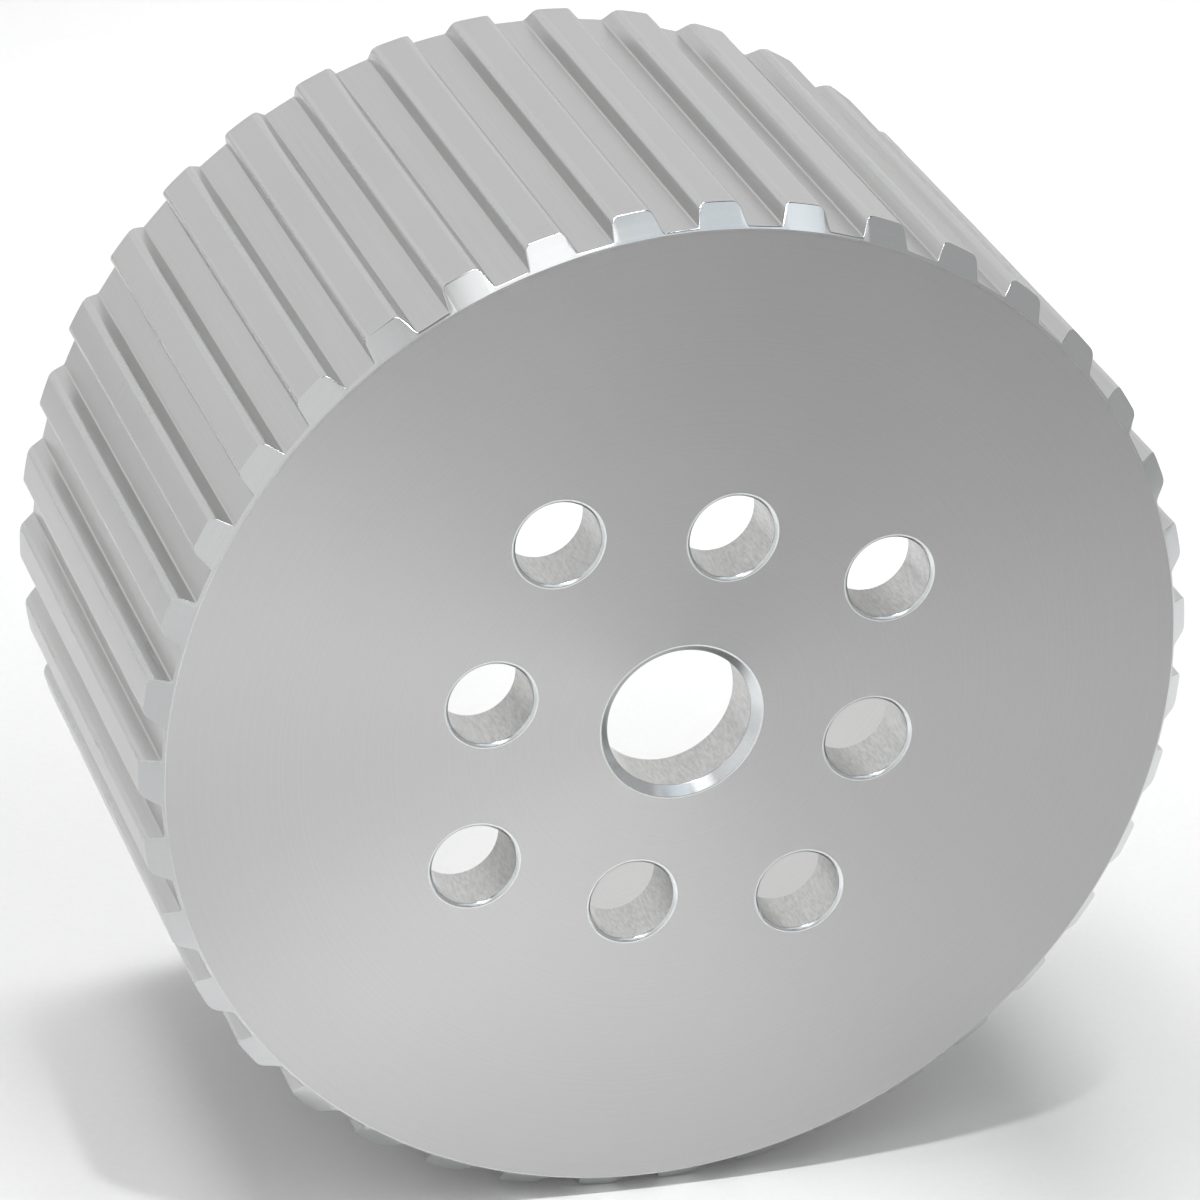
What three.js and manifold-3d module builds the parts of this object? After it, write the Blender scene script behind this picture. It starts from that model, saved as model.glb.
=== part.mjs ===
// Toothed belt drive pulley, machined in one piece from a round billet of aluminium.
//
// Millimetres, +Z up. The spin axis lies along Y and the flat front face looks along -Y.
// The origin is on the axis, halfway between the front and the rear face. The pulley stands
// on two teeth, with the groove between them straight below the axis.
//
// The shape is worked out in a turning frame whose Z axis is the spin axis, with the front
// face towards +Z and the same +X. The finished mesh is turned once into its own frame.

import * as THREE from "three";
import { mergeVertices } from "three/addons/utils/BufferGeometryUtils.js";
import Module from "manifold-3d";

// Belt teeth: half-inch pitch, trapezoidal grooves with a 40 degree included angle.
const TOOTH_COUNT = 39;
const BELT_PITCH = 12.7;
const PITCH_LINE_HEIGHT = 0.686;
const GROOVE_DEPTH = 2.65;
const GROOVE_FLOOR_WIDTH = 5.1;
const FLANK_ANGLE = THREE.MathUtils.degToRad(20);
const TOOTH_TIP_RADIUS = 1.1;

// Rim: the tooth ends are chamfered at 45 degrees on both sides, down to just under the
// floors of the grooves. The tooth tops are as long as a three-inch belt is wide.
const TOOTH_TOP_LENGTH = 76.2;
const FACE_RADIUS = 75.15;
const CUP_RADIUS = 70;
const CUP_CORNER_RADIUS = 3;
const CUP_MOUTH_CHAMFER = 0.8;

// Web: the flat disc behind the front face, with its bore and two circles of bolt holes.
const WEB_THICKNESS = 9.525;
const BORE_RADIUS = 10.72;
const BORE_CHAMFER = 1.3;
const HOLES_PER_CIRCLE = 4;
const HOLE_RADIUS = 6.25;
const HOLE_CHAMFER = 0.4;
const OUTER_HOLE_CIRCLE_RADIUS = 35.75;
const INNER_HOLE_CIRCLE_RADIUS = 29;
const TEETH_FROM_BOTTOM_TO_HOLE = 13;

// Fineness of the round faces.
const STEPS_PER_TOOTH = 4;
const CUP_STEPS = 104;
const CUP_CORNER_STEPS = 3;
const BORE_STEPS = 48;
const HOLE_STEPS = 28;
const CUT_MARGIN = 2;

const FULL_TURN = 2 * Math.PI;
const TOOTH_ANGLE = FULL_TURN / TOOTH_COUNT;
const OUTER_RADIUS = (TOOTH_COUNT * BELT_PITCH) / FULL_TURN - PITCH_LINE_HEIGHT;
const WIDTH = TOOTH_TOP_LENGTH + 2 * (OUTER_RADIUS - FACE_RADIUS);
const FRONT_Z = WIDTH / 2;
const REAR_Z = -WIDTH / 2;
const WEB_REAR_Z = FRONT_Z - WEB_THICKNESS;
const BOTTOM = -Math.PI / 2;

const wasm = await Module();
wasm.setup();

// A closed three.js geometry as a manifold solid, with its shared vertices merged.
function toSolid(geometry) {
  const bare = geometry.clone();
  bare.deleteAttribute("normal");
  bare.deleteAttribute("uv");
  const merged = mergeVertices(bare, 1e-4);
  return new wasm.Manifold(
    new wasm.Mesh({
      numProp: 3,
      vertProperties: new Float32Array(merged.attributes.position.array),
      triVerts: new Uint32Array(merged.index.array),
    }),
  );
}

function toGeometry(solid) {
  const mesh = solid.getMesh();
  const geometry = new THREE.BufferGeometry();
  geometry.setAttribute("position", new THREE.BufferAttribute(mesh.vertProperties, 3));
  geometry.setIndex(new THREE.BufferAttribute(mesh.triVerts, 1));
  geometry.computeVertexNormals();
  return geometry;
}

// A profile of [radius, height] points turned about the spin axis.
function turned(profile, steps) {
  const points = profile.map(([radius, height]) => new THREE.Vector2(radius, height));
  const geometry = new THREE.LatheGeometry(points, steps);
  geometry.rotateX(Math.PI / 2);
  return toSolid(geometry);
}

// The rounded tooth tip beside a groove, in the groove's own frame: x is the way across the
// groove and y the way out from the axis. The arc touches the flank and the outer circle.
function tipArc() {
  const along = new THREE.Vector2(Math.sin(FLANK_ANGLE), Math.cos(FLANK_ANGLE));
  const intoTooth = new THREE.Vector2(along.y, -along.x);
  const flankFoot = new THREE.Vector2(GROOVE_FLOOR_WIDTH / 2, OUTER_RADIUS - GROOVE_DEPTH);
  const start = flankFoot.clone().addScaledVector(intoTooth, TOOTH_TIP_RADIUS);
  const centreRadius = OUTER_RADIUS - TOOTH_TIP_RADIUS;
  const slope = start.dot(along);
  const rise = Math.sqrt(slope ** 2 - start.lengthSq() + centreRadius ** 2) - slope;
  const centre = start.addScaledVector(along, rise);
  return {
    centre,
    flankFoot,
    onFlank: Math.PI - FLANK_ANGLE,
    onLand: centre.angle(),
  };
}

// The outline of the whole toothed rim, tooth by tooth from the groove at the bottom.
function rimOutline() {
  const { centre, flankFoot, onFlank, onLand } = tipArc();
  const outline = new THREE.Shape();
  const centreRadius = centre.length();
  const centreOffset = Math.PI / 2 - centre.angle();
  const footRadius = flankFoot.length();
  const footOffset = Math.PI / 2 - flankFoot.angle();
  const bend = onFlank - onLand;
  for (let tooth = 0; tooth < TOOTH_COUNT; tooth += 1) {
    const before = BOTTOM + tooth * TOOTH_ANGLE;
    const after = before + TOOTH_ANGLE;
    const foot = before + footOffset;
    const firstTip = before + centreOffset;
    const lastTip = after - centreOffset;
    const lastFoot = after - footOffset;
    if (tooth === 0) {
      outline.moveTo(footRadius * Math.cos(foot), footRadius * Math.sin(foot));
    } else {
      outline.lineTo(footRadius * Math.cos(foot), footRadius * Math.sin(foot));
    }
    outline.absarc(
      centreRadius * Math.cos(firstTip),
      centreRadius * Math.sin(firstTip),
      TOOTH_TIP_RADIUS,
      firstTip - bend,
      firstTip,
    );
    outline.absarc(0, 0, OUTER_RADIUS, firstTip, lastTip);
    outline.absarc(
      centreRadius * Math.cos(lastTip),
      centreRadius * Math.sin(lastTip),
      TOOTH_TIP_RADIUS,
      lastTip,
      lastTip + bend,
    );
    outline.lineTo(footRadius * Math.cos(lastFoot), footRadius * Math.sin(lastFoot));
  }
  outline.closePath();
  return outline;
}

// The toothed bar, as wide as the pulley.
function toothedBar() {
  const geometry = new THREE.ExtrudeGeometry(rimOutline(), {
    depth: WIDTH,
    bevelEnabled: false,
    curveSegments: 1,
  });
  geometry.translate(0, 0, REAR_Z);
  return toSolid(geometry);
}

// The turned shape that the tooth ends are trimmed to: flat faces and 45 degree shoulders.
function endEnvelope() {
  const shoulder = OUTER_RADIUS + CUT_MARGIN - FACE_RADIUS;
  return turned(
    [
      [0, REAR_Z],
      [FACE_RADIUS, REAR_Z],
      [FACE_RADIUS + shoulder, REAR_Z + shoulder],
      [FACE_RADIUS + shoulder, FRONT_Z - shoulder],
      [FACE_RADIUS, FRONT_Z],
      [0, FRONT_Z],
    ],
    TOOTH_COUNT * STEPS_PER_TOOTH,
  );
}

// The hollow behind the web, open at the rear, with a rounded corner at the web.
function cupCutter() {
  const corner = [];
  for (let step = 0; step <= CUP_CORNER_STEPS; step += 1) {
    const angle = (step / CUP_CORNER_STEPS) * (Math.PI / 2);
    corner.push([
      CUP_RADIUS - CUP_CORNER_RADIUS + CUP_CORNER_RADIUS * Math.cos(angle),
      WEB_REAR_Z - CUP_CORNER_RADIUS + CUP_CORNER_RADIUS * Math.sin(angle),
    ]);
  }
  const mouth = CUP_MOUTH_CHAMFER + CUT_MARGIN;
  return turned(
    [
      [0, REAR_Z - CUT_MARGIN],
      [CUP_RADIUS + mouth, REAR_Z - CUT_MARGIN],
      [CUP_RADIUS, REAR_Z + CUP_MOUTH_CHAMFER],
      ...corner,
      [0, WEB_REAR_Z],
    ],
    CUP_STEPS,
  );
}

// A round hole through the web, with a 45 degree chamfer at the front face.
function webHoleCutter(radius, chamfer, steps) {
  return turned(
    [
      [0, WEB_REAR_Z - CUT_MARGIN],
      [radius, WEB_REAR_Z - CUT_MARGIN],
      [radius, FRONT_Z - chamfer],
      [radius + chamfer + CUT_MARGIN, FRONT_Z + CUT_MARGIN],
      [0, FRONT_Z + CUT_MARGIN],
    ],
    steps,
  );
}

// Two circles of bolt holes, half a hole spacing apart. The first hole is in line with a tooth.
function boltHoleCutters() {
  const cutter = webHoleCutter(HOLE_RADIUS, HOLE_CHAMFER, HOLE_STEPS);
  const firstHole = BOTTOM + (TEETH_FROM_BOTTOM_TO_HOLE + 0.5) * TOOTH_ANGLE;
  const spacing = FULL_TURN / HOLES_PER_CIRCLE;
  const circles = [
    { radius: OUTER_HOLE_CIRCLE_RADIUS, start: firstHole },
    { radius: INNER_HOLE_CIRCLE_RADIUS, start: firstHole + spacing / 2 },
  ];
  return circles.flatMap(({ radius, start }) =>
    Array.from({ length: HOLES_PER_CIRCLE }, (_, hole) => {
      const angle = start + hole * spacing;
      return cutter.translate([radius * Math.cos(angle), radius * Math.sin(angle), 0]);
    }),
  );
}

function pulleySolid() {
  const cutters = [
    cupCutter(),
    webHoleCutter(BORE_RADIUS, BORE_CHAMFER, BORE_STEPS),
    ...boltHoleCutters(),
  ];
  const blank = toothedBar().intersect(endEnvelope());
  return cutters.reduce((solid, cutter) => solid.subtract(cutter), blank);
}

const aluminium = new THREE.MeshStandardMaterial({
  color: new THREE.Color(0.72, 0.72, 0.715),
  roughness: 0.35,
  metalness: 1,
});

const pulley = new THREE.Mesh(toGeometry(pulleySolid()), aluminium);
pulley.name = "pulley";
pulley.rotation.x = Math.PI / 2;

const model = new THREE.Group();
model.add(pulley);

export default model;
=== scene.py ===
"""Toothed belt drive pulley, machined in one piece from a round billet of aluminium.

Metres, +Z up. The spin axis lies along Y and the flat front face looks along -Y. The fine skin is
made of rings about the spin axis: a ring's points are (x, z) pairs with a depth along Y. Angles
about the axis start at +X and turn towards +Z.
"""

import math

import bpy
from mathutils import Matrix, Vector
from mathutils.geometry import delaunay_2d_cdt


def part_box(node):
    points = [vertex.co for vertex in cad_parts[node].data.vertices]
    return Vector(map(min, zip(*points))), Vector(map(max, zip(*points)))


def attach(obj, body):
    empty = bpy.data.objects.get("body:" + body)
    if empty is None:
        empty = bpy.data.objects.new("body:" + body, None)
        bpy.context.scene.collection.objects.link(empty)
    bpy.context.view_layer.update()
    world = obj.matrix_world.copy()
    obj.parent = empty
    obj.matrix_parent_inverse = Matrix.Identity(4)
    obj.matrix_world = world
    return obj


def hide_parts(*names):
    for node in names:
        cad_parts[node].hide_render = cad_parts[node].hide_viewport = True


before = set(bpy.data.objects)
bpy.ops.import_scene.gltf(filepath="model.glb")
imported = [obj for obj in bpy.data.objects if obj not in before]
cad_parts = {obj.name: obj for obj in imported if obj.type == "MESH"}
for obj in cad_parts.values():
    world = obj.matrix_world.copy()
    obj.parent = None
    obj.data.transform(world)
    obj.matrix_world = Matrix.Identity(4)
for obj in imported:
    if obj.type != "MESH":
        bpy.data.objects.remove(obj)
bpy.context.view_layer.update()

# Belt teeth: half-inch pitch, trapezoidal grooves with a 40 degree included angle.
TOOTH_COUNT = 39
BELT_PITCH = 0.0127
PITCH_LINE_HEIGHT = 0.000686
GROOVE_DEPTH = 0.00265
GROOVE_FLOOR_WIDTH = 0.0051
FLANK_ANGLE = math.radians(20)
TOOTH_TIP_RADIUS = 0.0011
GROOVE_ROOT_RADIUS = 0.0003
FACE_RADIUS = 0.07515
TOOTH_EDGE_BREAK = 0.00014
FACE_EDGE_BREAK = 0.00010

# Web and cup.
WEB_THICKNESS = 0.009525
CUP_RADIUS = 0.070
CUP_CORNER_RADIUS = 0.003
CUP_MOUTH_CHAMFER = 0.0008

# Bore and bolt holes.
BORE_RADIUS = 0.01072
BORE_CHAMFER = 0.0013
BOLT_HOLE_RADIUS = 0.00625
BOLT_HOLE_CHAMFER = 0.0004
REAR_HOLE_CHAMFER = 0.0003
HOLES_PER_CIRCLE = 4
OUTER_HOLE_CIRCLE_RADIUS = 0.03575
INNER_HOLE_CIRCLE_RADIUS = 0.029
TEETH_FROM_BOTTOM_TO_HOLE = 13
TURNED_EDGE_RADIUS = 0.0002

# Fineness of the mesh.
FLOOR_STEPS = 2
ROOT_STEPS = 3
FLANK_STEPS = 3
TIP_STEPS = 6
LAND_STEPS = 2
LENGTH_STEPS = 10
BREAK_STEPS = 3
CORNER_STEPS = 8
CUP_STEPS = 360
BORE_STEPS = 128
BOLT_HOLE_STEPS = 80
LONGEST_STEP = 0.008
PLATE_SPACING = 0.004
EDGE_SPACING = 0.0007
SPACING_GROWTH = 1.5
RIM_END_SPACING = 0.0018
HOLE_CLEARANCE = 0.006

# Two rings of points around each hole: the distance from its edge, and the spacing.
HOLE_RINGS = ((0.0014, 0.00105), (0.0042, 0.00315))

TURN = 2 * math.pi
TOOTH_ANGLE = TURN / TOOTH_COUNT
BOTTOM = -math.pi / 2
OUTER_RADIUS = TOOTH_COUNT * BELT_PITCH / TURN - PITCH_LINE_HEIGHT
FLOOR_HEIGHT = OUTER_RADIUS - GROOVE_DEPTH
LOW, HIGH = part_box("pulley")
FRONT_Y = LOW.y
REAR_Y = HIGH.y
WEB_REAR_Y = FRONT_Y + WEB_THICKNESS

# The zones of the skin, each with a finish of its own.
FRONT_FACE, LAND, TIP, GROOVE, TOOTH_END, HOLE_MOUTH, HOLE_WALL, CUP_WALL, WEB_REAR = range(9)


# ---------------------------------------------------------------- lines

def arc(centre, radius, start, end, steps, bulge=1):
    """Points of an arc with their normals, which look away from the centre, or at it for bulge -1."""
    found = []
    for step in range(steps + 1):
        angle = start + (end - start) * step / steps
        away = Vector((math.cos(angle), math.sin(angle)))
        found.append((centre + radius * away, bulge * away))
    return found


def straight(start, end, normal, steps):
    """The points inside a straight stretch, without its ends, with its normal."""
    return [(start.lerp(end, step / steps), normal) for step in range(1, steps)]


def half_pitch():
    """The rim's outline from the middle of a groove to the middle of the next tooth.

    It is drawn in the groove's own frame: x is the way across the groove and y the way out from
    the axis. Returned with it is the zone of each stretch between two points.
    """
    up = Vector((0, 1))
    out_of_flank = Vector((-math.cos(FLANK_ANGLE), math.sin(FLANK_ANGLE)))
    along_flank = Vector((math.sin(FLANK_ANGLE), math.cos(FLANK_ANGLE)))
    foot = Vector((GROOVE_FLOOR_WIDTH / 2, FLOOR_HEIGHT))
    root_reach = GROOVE_ROOT_RADIUS * (1 - math.sin(FLANK_ANGLE)) / math.cos(FLANK_ANGLE)
    root_centre = foot + Vector((-root_reach, GROOVE_ROOT_RADIUS))
    root = arc(root_centre, GROOVE_ROOT_RADIUS, BOTTOM, -FLANK_ANGLE, ROOT_STEPS, bulge=-1)

    tip_line = foot - TOOTH_TIP_RADIUS * out_of_flank
    slope = tip_line.dot(along_flank)
    centre_radius = OUTER_RADIUS - TOOTH_TIP_RADIUS
    rise = math.sqrt(slope ** 2 - tip_line.length_squared + centre_radius ** 2) - slope
    tip_centre = tip_line + rise * along_flank
    land_start = math.atan2(tip_centre.y, tip_centre.x)
    tip = arc(tip_centre, TOOTH_TIP_RADIUS, math.pi - FLANK_ANGLE, land_start, TIP_STEPS)
    land = arc(Vector((0, 0)), OUTER_RADIUS, land_start, (math.pi - TOOTH_ANGLE) / 2, LAND_STEPS)

    middle = Vector((0, FLOOR_HEIGHT))
    floor = [(middle, up)] + straight(middle, root[0][0], up, FLOOR_STEPS)
    flank = straight(root[-1][0], tip[0][0], out_of_flank, FLANK_STEPS)
    zones = [GROOVE] * (FLOOR_STEPS + ROOT_STEPS + FLANK_STEPS)
    zones += [TIP] * TIP_STEPS + [LAND] * LAND_STEPS
    return floor + root + flank + tip + land[1:], zones


def rim_outline():
    """The whole rim's outline as points, normals and the zones between points."""
    half, half_zones = half_pitch()
    points = []
    normals = []
    zones = []
    for tooth in range(TOOTH_COUNT):
        groove = BOTTOM + tooth * TOOTH_ANGLE
        sides = [(groove, 1, half[:-1])]
        sides.append((groove + TOOTH_ANGLE, -1, half[:0:-1]))
        for angle, side, stretch in sides:
            out = Vector((math.cos(angle), math.sin(angle)))
            across = side * Vector((-math.sin(angle), math.cos(angle)))
            for point, normal in stretch:
                points.append(point.x * across + point.y * out)
                normals.append(normal.x * across + normal.y * out)
        zones += half_zones + half_zones[::-1]
    return points, normals, zones


def bend(start, corner, end, share):
    """A point on the smooth bend from start to end that the corner pulls on."""
    return start.lerp(corner, share).lerp(corner.lerp(end, share), share)


def rounded(corners, radii):
    """A line of (radius, depth) points with its inner corners rounded, and long stretches divided.

    A large corner gets CORNER_STEPS steps, and an edge that is only broken gets BREAK_STEPS.
    """
    line = [Vector(corners[0])]
    for before, corner, after, radius in zip(corners, corners[1:], corners[2:], radii):
        corner = Vector(corner)
        back = (Vector(before) - corner).normalized()
        onward = (Vector(after) - corner).normalized()
        half_angle = back.angle(onward) / 2
        reach = radius / math.tan(half_angle)
        centre = corner + radius / math.sin(half_angle) * (back + onward).normalized()
        start = corner + reach * back - centre
        sweep = start.angle_signed(corner + reach * onward - centre)
        steps = CORNER_STEPS if radius > TURNED_EDGE_RADIUS else BREAK_STEPS
        for step in range(steps + 1):
            line.append(centre + Matrix.Rotation(-sweep * step / steps, 2) @ start)
    line.append(Vector(corners[-1]))
    divided = [line[0]]
    for start, end in zip(line, line[1:]):
        steps = math.ceil((end - start).length / LONGEST_STEP)
        divided += [start.lerp(end, step / steps) for step in range(1, steps + 1)]
    return divided


# ---------------------------------------------------------------- skin

class Skin:
    """The points and faces of one closed skin."""

    def __init__(self):
        self.points = []
        self.faces = []
        self.zones = []

    def add_ring(self, flat_points, depths):
        """Adds a closed row of points and returns their numbers."""
        first = len(self.points)
        self.points += [(x, depth, z) for (x, z), depth in zip(flat_points, depths)]
        return range(first, len(self.points))

    def add_face(self, corners, zone):
        self.faces.append(corners)
        self.zones.append(zone)

    def join_rings(self, rings, zones):
        """Four-sided faces from each ring to the next.

        The rings follow each other so that the faces look outwards, and zones has one zone for
        each face around.
        """
        for near, far in zip(rings, rings[1:]):
            for here, zone in enumerate(zones):
                following = (here + 1) % len(zones)
                self.add_face((near[following], near[here], far[here], far[following]), zone)

    def add_plate(self, outer, holes, depth, loose_points, zone, looks_forward):
        """A flat plate inside the ring outer, around the rings of its holes."""
        loops = []
        numbers = []
        for ring in [outer, *holes]:
            loops.append(list(range(len(numbers), len(numbers) + len(ring))))
            numbers += ring
        flat = [Vector((self.points[number][0], self.points[number][2])) for number in numbers]
        numbers += self.add_ring(loose_points, [depth] * len(loose_points))
        flat += [Vector(point) for point in loose_points]
        inside_with_holes = 2
        same_point = 1e-9
        found = delaunay_2d_cdt(flat, [], loops, inside_with_holes, same_point)
        triangles = found[2]
        given_points = found[3]
        for triangle in triangles:
            corners = [numbers[given_points[corner][0]] for corner in triangle]
            self.add_face(corners if looks_forward else corners[::-1], zone)

    def to_object(self, name, materials):
        mesh = bpy.data.meshes.new(name)
        mesh.from_pydata(self.points, [], self.faces)
        for material in materials:
            mesh.materials.append(material)
        mesh.polygons.foreach_set("material_index", self.zones)
        mesh.shade_smooth()
        piece = bpy.data.objects.new(name, mesh)
        bpy.context.scene.collection.objects.link(piece)
        return piece


def turn(skin, profile, centre, steps):
    """Rings of a profile of (radius, depth) points turned about an axis through centre."""
    around = [(math.cos(TURN * i / steps), math.sin(TURN * i / steps)) for i in range(steps)]
    rings = []
    for radius, depth in profile:
        flat = [(centre[0] + radius * x, centre[1] + radius * z) for x, z in around]
        rings.append(skin.add_ring(flat, [depth] * steps))
    return rings


def tooth_end_rows(points, normals):
    """The rows of points over a chamfered tooth end, from its outline to the flat face.

    Each point is (x, z, inset), where the inset is how deep it lies behind the face. The
    outline's edge and the face's edge are both broken with a small bend.
    """
    diagonal = math.cos(math.pi / 4)
    rows = []
    for step in range(BREAK_STEPS + 1):
        row = []
        for point, normal in zip(points, normals):
            inner = point - diagonal * TOOTH_EDGE_BREAK * normal
            inset = point.length - FACE_RADIUS
            start = Vector((*point, inset + TOOTH_EDGE_BREAK))
            corner = Vector((*point, inset))
            end = Vector((*inner, inner.length - FACE_RADIUS))
            row.append(bend(start, corner, end, step / BREAK_STEPS))
        rows.append(row)
    ways_out = [point.xy.normalized() for point in rows[-1]]
    start = Vector((FACE_RADIUS + diagonal * FACE_EDGE_BREAK, diagonal * FACE_EDGE_BREAK))
    corner = Vector((FACE_RADIUS, 0))
    end = Vector((FACE_RADIUS - FACE_EDGE_BREAK, 0))
    for step in range(BREAK_STEPS + 1):
        radius, inset = bend(start, corner, end, step / BREAK_STEPS)
        rows.append([Vector((*(radius * way_out), inset)) for way_out in ways_out])
    return rows


def add_rim(skin):
    """The toothed rim with its chamfered ends. Returns the front and the rear ring on the faces."""
    points, normals, zones = rim_outline()
    ends = []
    for face_y, inward in ((FRONT_Y, 1), (REAR_Y, -1)):
        rings = []
        for row in tooth_end_rows(points, normals):
            depths = [face_y + inward * point.z for point in row]
            rings.append(skin.add_ring([point.xy for point in row], depths))
        ends.append(rings)
    front, rear = ends
    length = []
    for step in range(1, LENGTH_STEPS):
        share = step / LENGTH_STEPS
        depths = []
        for near, far in zip(front[0], rear[0]):
            depths.append(skin.points[near][1] * (1 - share) + skin.points[far][1] * share)
        length.append(skin.add_ring(points, depths))
    end_zones = [TOOTH_END] * len(zones)
    skin.join_rings(front[::-1], end_zones)
    skin.join_rings([front[0], *length, rear[0]], zones)
    skin.join_rings(rear, end_zones)
    return front[-1], rear[-1]


def add_hole(skin, radius, chamfer, centre, steps):
    """A chamfered hole through the web. Returns its front and its rear ring.

    The front chamfer ends where the second rounded edge does, and has a finish of its own.
    """
    front_mouth = radius + chamfer
    rear_mouth = radius + REAR_HOLE_CHAMFER
    corners = [
        (front_mouth + TURNED_EDGE_RADIUS, FRONT_Y),
        (front_mouth, FRONT_Y),
        (radius, FRONT_Y + chamfer),
        (radius, WEB_REAR_Y - REAR_HOLE_CHAMFER),
        (rear_mouth, WEB_REAR_Y),
        (rear_mouth + TURNED_EDGE_RADIUS, WEB_REAR_Y),
    ]
    rings = turn(skin, rounded(corners, [TURNED_EDGE_RADIUS] * 4), centre, steps)
    chamfer_end = 2 * (BREAK_STEPS + 1)
    skin.join_rings(rings[chamfer_end::-1], [HOLE_MOUTH] * steps)
    skin.join_rings(rings[:chamfer_end - 1:-1], [HOLE_WALL] * steps)
    return rings[0], rings[-1]


def add_cup(skin):
    """The hollow behind the web. Returns its mouth ring and the ring on the web."""
    mouth = CUP_RADIUS + CUP_MOUTH_CHAMFER
    corners = [
        (mouth + TURNED_EDGE_RADIUS, REAR_Y),
        (mouth, REAR_Y),
        (CUP_RADIUS, REAR_Y - CUP_MOUTH_CHAMFER),
        (CUP_RADIUS, WEB_REAR_Y),
        (CUP_RADIUS - CUP_CORNER_RADIUS - TURNED_EDGE_RADIUS, WEB_REAR_Y),
    ]
    radii = [TURNED_EDGE_RADIUS, TURNED_EDGE_RADIUS, CUP_CORNER_RADIUS]
    rings = turn(skin, rounded(corners, radii), (0, 0), CUP_STEPS)
    skin.join_rings(rings, [CUP_WALL] * CUP_STEPS)
    return rings[0], rings[-1]


def hole_places():
    """Centre, radius, chamfer and steps of the bore and the bolt holes.

    The first bolt hole is in line with a tooth, and the second circle starts half a hole
    spacing further round.
    """
    holes = [((0, 0), BORE_RADIUS, BORE_CHAMFER, BORE_STEPS)]
    first = BOTTOM + (TEETH_FROM_BOTTOM_TO_HOLE + 0.5) * TOOTH_ANGLE
    spacing = TURN / HOLES_PER_CIRCLE
    circles = [(OUTER_HOLE_CIRCLE_RADIUS, first), (INNER_HOLE_CIRCLE_RADIUS, first + spacing / 2)]
    for circle_radius, start in circles:
        for hole in range(HOLES_PER_CIRCLE):
            angle = start + hole * spacing
            centre = (circle_radius * math.cos(angle), circle_radius * math.sin(angle))
            holes.append((centre, BOLT_HOLE_RADIUS, BOLT_HOLE_CHAMFER, BOLT_HOLE_STEPS))
    return holes


def ring_points(centre, radius, spacing):
    """Points on a circle, about the spacing apart."""
    count = round(TURN * radius / spacing)
    angles = [TURN * i / count for i in range(count)]
    return [(centre[0] + radius * math.cos(a), centre[1] + radius * math.sin(a)) for a in angles]


def clear_of_holes(point, holes):
    return all(math.dist(point, centre) - radius > HOLE_CLEARANCE for centre, radius, *_ in holes)


def plate_points(outer_radius):
    """Loose points that keep a web plate's triangles even, finer towards its edges and holes."""
    holes = hole_places()
    found = []
    for centre, radius, chamfer, _ in holes:
        for distance, spacing in HOLE_RINGS:
            found += ring_points(centre, radius + chamfer + distance, spacing)
    spacing = EDGE_SPACING
    radius = outer_radius - spacing
    while radius > BORE_RADIUS + BORE_CHAMFER + PLATE_SPACING:
        for point in ring_points((0, 0), radius, spacing):
            if clear_of_holes(point, holes):
                found.append(point)
        spacing = min(SPACING_GROWTH * spacing, PLATE_SPACING)
        radius -= spacing
    return found


def make_pulley(materials):
    skin = Skin()
    rim_front, rim_rear = add_rim(skin)
    cup_mouth, cup_end = add_cup(skin)
    holes = [add_hole(skin, radius, chamfer, centre, steps)
             for centre, radius, chamfer, steps in hole_places()]
    front_rings = [front for front, _ in holes]
    rear_rings = [rear for _, rear in holes]
    face_points = plate_points(FACE_RADIUS - FACE_EDGE_BREAK)
    web_points = plate_points(CUP_RADIUS - CUP_CORNER_RADIUS)
    skin.add_plate(rim_front, front_rings, FRONT_Y, face_points, FRONT_FACE, True)
    skin.add_plate(cup_end, rear_rings, WEB_REAR_Y, web_points, WEB_REAR, False)
    rim_end_middle = (FACE_RADIUS + CUP_RADIUS + CUP_MOUTH_CHAMFER) / 2
    rim_end_points = ring_points((0, 0), rim_end_middle, RIM_END_SPACING)
    skin.add_plate(rim_rear, [cup_mouth], REAR_Y, rim_end_points, TOOTH_END, False)
    pulley = skin.to_object("pulley_skin", materials)
    even = pulley.modifiers.new("even_normals", "WEIGHTED_NORMAL")
    even.keep_sharp = True
    return pulley


# ---------------------------------------------------------------- materials

# Every finish has tool marks, uneven patches and a fine grain. A scale is how many there are to
# a metre. The pairs are the factors that they darken and lighten the tone by, and the least and
# the most that they add to the roughness.
MARK_ROUGHNESS = (-0.02, 0.02)
SMUDGE_SCALE = 45
SMUDGE_TONES = (0.985, 1.015)
SMUDGE_ROUGHNESS = (-0.02, 0.025)
GRAIN_SCALE = 2600
GRAIN_TONES = (0.985, 1.01)

# How far the tool marks are drawn out along x, y and z, where less is longer.
MILLED_STRETCH = (1, 0.012, 1)
DRILLED_STRETCH = (1, 0.25, 1)

# Most of a noise texture's values lie between these.
USUAL_NOISE = (0.25, 0.75)

FLOOR_GRAIN_SCALE = 900
FLOOR_TONES = (0.90, 0.92)
FLOOR_ROUGHNESS = 0.9
FLOOR_SHEEN = 0.1
FLOOR_FADE = (0.9, 2.4)

MILLIMETRE = 1e-3
MICRON = 1e-6


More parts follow.
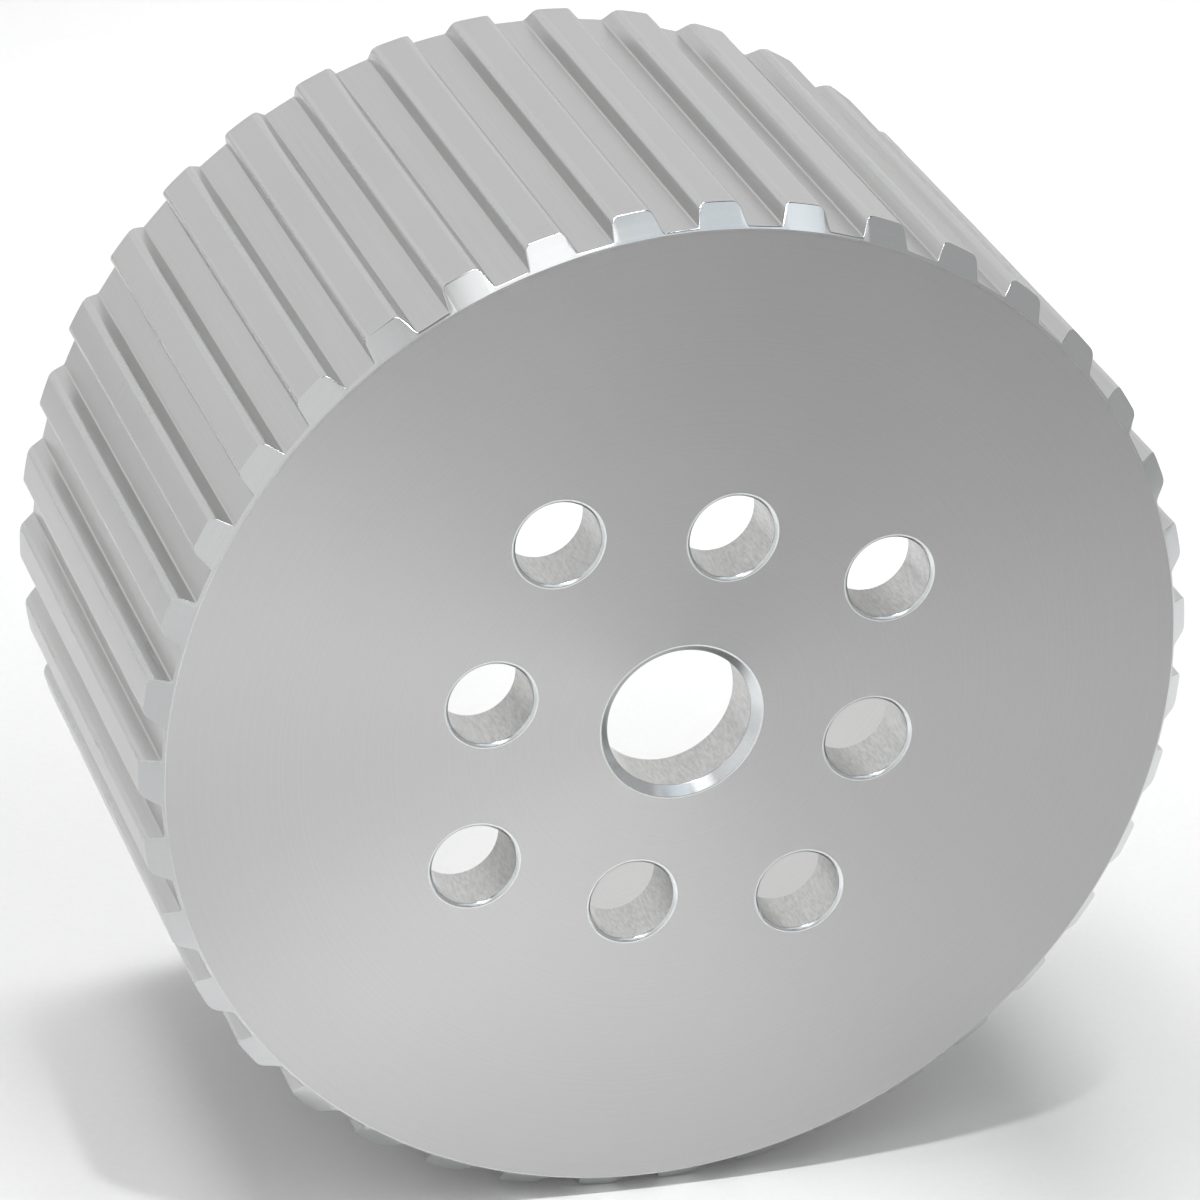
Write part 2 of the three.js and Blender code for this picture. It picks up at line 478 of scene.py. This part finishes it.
class Graph:
    """Adds shader nodes: a value given for an input is set, and an output socket is linked."""

    def __init__(self, tree):
        self.tree = tree

    def add(self, kind, values=None, **settings):
        node = self.tree.nodes.new(kind)
        for key, value in settings.items():
            setattr(node, key, value)
        for key, value in (values or {}).items():
            self.give(node.inputs[key], value)
        return node

    def give(self, socket, value):
        if isinstance(value, bpy.types.NodeSocket):
            self.tree.links.new(value, socket)
        else:
            socket.default_value = value

    def maths(self, operation, *values):
        return self.add("ShaderNodeMath", dict(enumerate(values)), operation=operation).outputs[0]

    def scaled(self, vector, factor):
        values = {0: vector, "Scale": factor}
        return self.add("ShaderNodeVectorMath", values, operation="SCALE").outputs[0]

    def stretched(self, vector, factors):
        values = {0: vector, 1: factors}
        return self.add("ShaderNodeVectorMath", values, operation="MULTIPLY").outputs[0]

    def length(self, vector):
        return self.add("ShaderNodeVectorMath", {0: vector}, operation="LENGTH").outputs["Value"]

    def noise(self, dimensions, place, scale, detail=2.0, roughness=0.5):
        key = "W" if dimensions == "1D" else "Vector"
        values = {key: place, "Scale": scale, "Detail": detail, "Roughness": roughness}
        return self.add("ShaderNodeTexNoise", values, noise_dimensions=dimensions).outputs[0]

    def mapped(self, value, start, end, low, high, curve="LINEAR"):
        """Goes from low to high while the value goes from start to end, and no further."""
        values = {"Value": value, 1: start, 2: end, 3: low, 4: high}
        return self.add("ShaderNodeMapRange", values, interpolation_type=curve).outputs[0]

    def spread(self, noise, low, high):
        """Maps noise from its usual range to low and high."""
        return self.mapped(noise, *USUAL_NOISE, low, high)


def tool_marks(graph, marks, point, mark_size):
    """Noise drawn out the way the tool went."""
    scale = 1 / mark_size
    fineness = {"detail": 3.0, "roughness": 0.6}
    if marks == "faced":
        radius = graph.length(graph.stretched(point, (1, 0, 1)))
        return graph.noise("1D", radius, scale, **fineness)
    if marks == "turned":
        depth = graph.add("ShaderNodeSeparateXYZ", {0: point}).outputs["Y"]
        return graph.noise("1D", depth, scale, **fineness)
    stretch = DRILLED_STRETCH if marks == "drilled" else MILLED_STRETCH
    return graph.noise("3D", graph.stretched(point, stretch), scale, **fineness)


def machined(name, marks, tone, roughness, mark_size, mark_height,
             contrast=0.035, anisotropy=0.0, lean=0.0):
    """Machined aluminium.

    marks is how the tool went: "faced" leaves circles on a flat face, "turned" leaves rings
    around a round wall, and "drilled" and "milled" leave short and long streaks along the spin
    axis. Contrast is how much darker or lighter the marks are. An anisotropy smears the shine
    across the circles, and a lean tilts the shading outwards from the axis, like a shallow cone.
    """
    material = bpy.data.materials.new(name)
    material.use_nodes = True
    graph = Graph(material.node_tree)
    shader = material.node_tree.nodes["Principled BSDF"]
    shader.inputs["Metallic"].default_value = 1.0
    point = graph.add("ShaderNodeTexCoord").outputs["Object"]
    lines = tool_marks(graph, marks, point, mark_size)
    smudges = graph.noise("3D", point, SMUDGE_SCALE, detail=4.0)
    grain = graph.noise("3D", point, GRAIN_SCALE)

    shade = graph.spread(lines, 1 - contrast, 1 + contrast)
    shade = graph.maths("MULTIPLY", shade, graph.spread(smudges, *SMUDGE_TONES))
    shade = graph.maths("MULTIPLY", shade, graph.spread(grain, *GRAIN_TONES))
    graph.give(shader.inputs["Base Color"], graph.scaled(tone, shade))

    rough = graph.maths("ADD", roughness, graph.spread(lines, *MARK_ROUGHNESS))
    rough = graph.maths("ADD", rough, graph.spread(smudges, *SMUDGE_ROUGHNESS))
    graph.give(shader.inputs["Roughness"], rough)

    height = graph.maths("MULTIPLY", lines, mark_height)
    if lean:
        radius = graph.length(graph.stretched(point, (1, 0, 1)))
        cone = graph.maths("MULTIPLY", radius, -math.tan(lean))
        height = graph.maths("ADD", height, cone)
    bump = graph.add("ShaderNodeBump", {"Height": height, "Distance": 1.0, "Strength": 1.0})
    graph.give(shader.inputs["Normal"], bump.outputs[0])
    if anisotropy:
        quarter_turn = 0.25
        shader.inputs["Anisotropic"].default_value = anisotropy
        shader.inputs["Anisotropic Rotation"].default_value = quarter_turn
        around = graph.add("ShaderNodeTangent", direction_type="RADIAL", axis="Y").outputs[0]
        graph.give(shader.inputs["Tangent"], around)
    return material


def pulley_materials():
    """One finish for each zone, in the order of the zones."""
    plain = (0.57, 0.572, 0.568)
    return [
        machined("faced_aluminium", "faced", (0.50, 0.502, 0.498), roughness=0.34,
                 mark_size=0.35 * MILLIMETRE, mark_height=1.3 * MICRON,
                 contrast=0.025, anisotropy=0.6, lean=math.radians(7)),
        machined("turned_land_aluminium", "turned", plain, roughness=0.30,
                 mark_size=0.30 * MILLIMETRE, mark_height=2.0 * MICRON),
        machined("deburred_tip_aluminium", "milled", (0.60, 0.606, 0.604), roughness=0.28,
                 mark_size=0.30 * MILLIMETRE, mark_height=0.4 * MICRON),
        machined("milled_groove_aluminium", "milled", plain, roughness=0.30,
                 mark_size=0.40 * MILLIMETRE, mark_height=2.0 * MICRON),
        machined("turned_chamfer_aluminium", "turned", (0.66, 0.67, 0.675), roughness=0.16,
                 mark_size=0.25 * MILLIMETRE, mark_height=1.0 * MICRON),
        machined("countersunk_aluminium", "drilled", (0.72, 0.74, 0.75), roughness=0.18,
                 mark_size=0.50 * MILLIMETRE, mark_height=2.0 * MICRON),
        machined("drilled_aluminium", "drilled", (0.64, 0.64, 0.635), roughness=0.32,
                 mark_size=0.40 * MILLIMETRE, mark_height=14 * MICRON, contrast=0.18),
        machined("bored_aluminium", "turned", (0.70, 0.70, 0.695), roughness=0.32,
                 mark_size=0.40 * MILLIMETRE, mark_height=2.5 * MICRON),
        machined("faced_rear_aluminium", "faced", plain, roughness=0.30,
                 mark_size=0.40 * MILLIMETRE, mark_height=3.0 * MICRON, anisotropy=0.6),
    ]


def floor_material():
    """A pale floor that fades into the studio between the two distances of FLOOR_FADE."""
    material = bpy.data.materials.new("pale_floor")
    material.use_nodes = True
    graph = Graph(material.node_tree)
    shader = material.node_tree.nodes["Principled BSDF"]
    point = graph.add("ShaderNodeTexCoord").outputs["Object"]
    fine = graph.noise("3D", point, FLOOR_GRAIN_SCALE, detail=3.0)
    tone = graph.scaled((1, 1, 1), graph.spread(fine, *FLOOR_TONES))
    graph.give(shader.inputs["Base Color"], tone)
    shader.inputs["Roughness"].default_value = FLOOR_ROUGHNESS
    shader.inputs["Specular IOR Level"].default_value = FLOOR_SHEEN
    fade = graph.mapped(graph.length(point), *FLOOR_FADE, 0, 1, "SMOOTHSTEP")
    clear = graph.add("ShaderNodeBsdfTransparent").outputs[0]
    faded = graph.add("ShaderNodeMixShader", {0: fade, 1: shader.outputs[0], 2: clear})
    graph.give(material.node_tree.nodes["Material Output"].inputs["Surface"], faded.outputs[0])
    return material


# ---------------------------------------------------------------- stage

CAMERA_AZIMUTH = -19.70
CAMERA_ELEVATION = 25.83
CAMERA_ROLL = 4.456
CAMERA_DISTANCE = 0.8118
CAMERA_LENS = 164.7
CAMERA_NEAREST = 0.01
CAMERA_TARGET = Vector((0.0008, -0.0005, -0.0005))

FLOOR_HALF_SIZE = 2.5

# The studio air dims towards one side, given as azimuth and elevation, and overhead. The side's
# limits are cosines of the angle from it, and the ceiling's are heights of a way of length 1.
DIM_SIDE = (45, 5)
DIM_SIDE_LIMITS = (-0.2, 0.75)
BRIGHT_LEVEL = 0.86
DIM_LEVEL = 0.46
CEILING_LIMITS = (0.68, 0.85)
CEILING_LEVEL = 0.15

WHITE = (1, 1, 1)
COOL_WHITE = (0.88, 0.95, 1.0)
SOFT_COOL_WHITE = (0.92, 0.97, 1.0)


def direction(azimuth, elevation):
    """The way of length 1 towards an azimuth, counted from the front, and an elevation."""
    across = math.radians(azimuth)
    rise = math.radians(elevation)
    return Vector((
        math.sin(across) * math.cos(rise),
        -math.cos(across) * math.cos(rise),
        math.sin(rise),
    ))


def facing_back(way):
    """The turn that makes a lamp or a camera placed out along the way look back at the start."""
    return way.to_track_quat("Z", "Y").to_matrix().to_4x4()


def make_camera():
    lens = bpy.data.cameras.new("camera")
    lens.lens = CAMERA_LENS
    lens.clip_start = CAMERA_NEAREST
    camera = bpy.data.objects.new("camera", lens)
    back = direction(CAMERA_AZIMUTH, CAMERA_ELEVATION)
    place = Matrix.Translation(CAMERA_TARGET + CAMERA_DISTANCE * back)
    roll = Matrix.Rotation(math.radians(CAMERA_ROLL), 4, "Z")
    camera.matrix_world = place @ facing_back(back) @ roll
    bpy.context.scene.collection.objects.link(camera)
    bpy.context.scene.camera = camera


def add_lamp(light, target, way, distance):
    """Puts the light at that distance from the target, out along the way, aimed at the target."""
    lamp = bpy.data.objects.new(light.name, light)
    lamp.matrix_world = Matrix.Translation(target + distance * way) @ facing_back(way)
    bpy.context.scene.collection.objects.link(lamp)


def softbox(name, azimuth, elevation, distance, size, brightness, colour=WHITE):
    """A lamp aimed at the object. Brightness is what its surface looks like, where white is 1."""
    light = bpy.data.lights.new(name, "AREA")
    light.shape = "RECTANGLE"
    light.size, light.size_y = size
    light.energy = brightness * math.pi * light.size * light.size_y
    light.color = colour
    add_lamp(light, Vector((0, 0, 0)), direction(azimuth, elevation), distance)


def pool_light(name, azimuth, elevation, distance, middle, radius, blend, power, softness):
    """A soft round pool of light on the floor. Its middle is given as x and y."""
    light = bpy.data.lights.new(name, "SPOT")
    light.energy = power
    light.spot_size = 2 * math.atan(radius / distance)
    light.spot_blend = blend
    light.shadow_soft_size = softness
    add_lamp(light, Vector((*middle, LOW.z)), direction(azimuth, elevation), distance)


def make_floor():
    half = FLOOR_HALF_SIZE
    mesh = bpy.data.meshes.new("floor")
    corners = [(-half, -half, 0), (half, -half, 0), (half, half, 0), (-half, half, 0)]
    mesh.from_pydata(corners, [], [(0, 1, 2, 3)])
    mesh.materials.append(floor_material())
    floor = bpy.data.objects.new("floor", mesh)
    floor.location.z = LOW.z
    bpy.context.scene.collection.objects.link(floor)


def make_studio_air():
    """A pale studio all around, dim to the right in front of the object, and dim overhead."""
    world = bpy.data.worlds.new("studio")
    bpy.context.scene.world = world
    world.use_nodes = True
    graph = Graph(world.node_tree)
    way = graph.add("ShaderNodeTexCoord").outputs["Generated"]
    values = {0: way, 1: direction(*DIM_SIDE)}
    toward = graph.add("ShaderNodeVectorMath", values, operation="DOT_PRODUCT").outputs["Value"]
    around = graph.mapped(toward, *DIM_SIDE_LIMITS, BRIGHT_LEVEL, DIM_LEVEL, "SMOOTHSTEP")
    height = graph.add("ShaderNodeSeparateXYZ", {0: way}).outputs["Z"]
    overhead = graph.mapped(height, *CEILING_LIMITS, 1, CEILING_LEVEL, "SMOOTHSTEP")
    background = world.node_tree.nodes["Background"]
    background.inputs["Color"].default_value = (*WHITE, 1)
    graph.give(background.inputs["Strength"], graph.maths("MULTIPLY", around, overhead))


def make_lights():
    """Softboxes that the tooth ends mirror, and pools on the floor that the face and rim mirror."""
    softbox("key_light", azimuth=-20, elevation=56, distance=1.2,
            size=(0.46, 0.36), brightness=1.25)
    softbox("cool_light", azimuth=34, elevation=59, distance=1.2,
            size=(0.72, 0.34), brightness=0.85, colour=COOL_WHITE)
    softbox("edge_light", azimuth=54, elevation=50, distance=1.1,
            size=(0.20, 0.30), brightness=0.33, colour=SOFT_COOL_WHITE)
    pool_light("side_pool", azimuth=170, elevation=82, distance=3.5, middle=(-1.33, 0),
               radius=1.45, blend=0.09, power=215, softness=0.8)
    pool_light("rear_pool", azimuth=180, elevation=82, distance=1.4, middle=(0.20, 0.27),
               radius=0.38, blend=0.75, power=84, softness=0.35)
    pool_light("near_pool", azimuth=-10, elevation=78, distance=1.3, middle=(-0.01, -0.064),
               radius=0.10, blend=1.0, power=42, softness=0.04)
    pool_light("front_pool", azimuth=-10, elevation=78, distance=1.3, middle=(-0.05, -0.37),
               radius=0.29, blend=1.0, power=46, softness=0.08)


pulley = make_pulley(pulley_materials())
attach(pulley, "root")
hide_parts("pulley")

make_camera()
make_floor()
make_studio_air()
make_lights()
bpy.context.scene.view_settings.view_transform = "Standard"
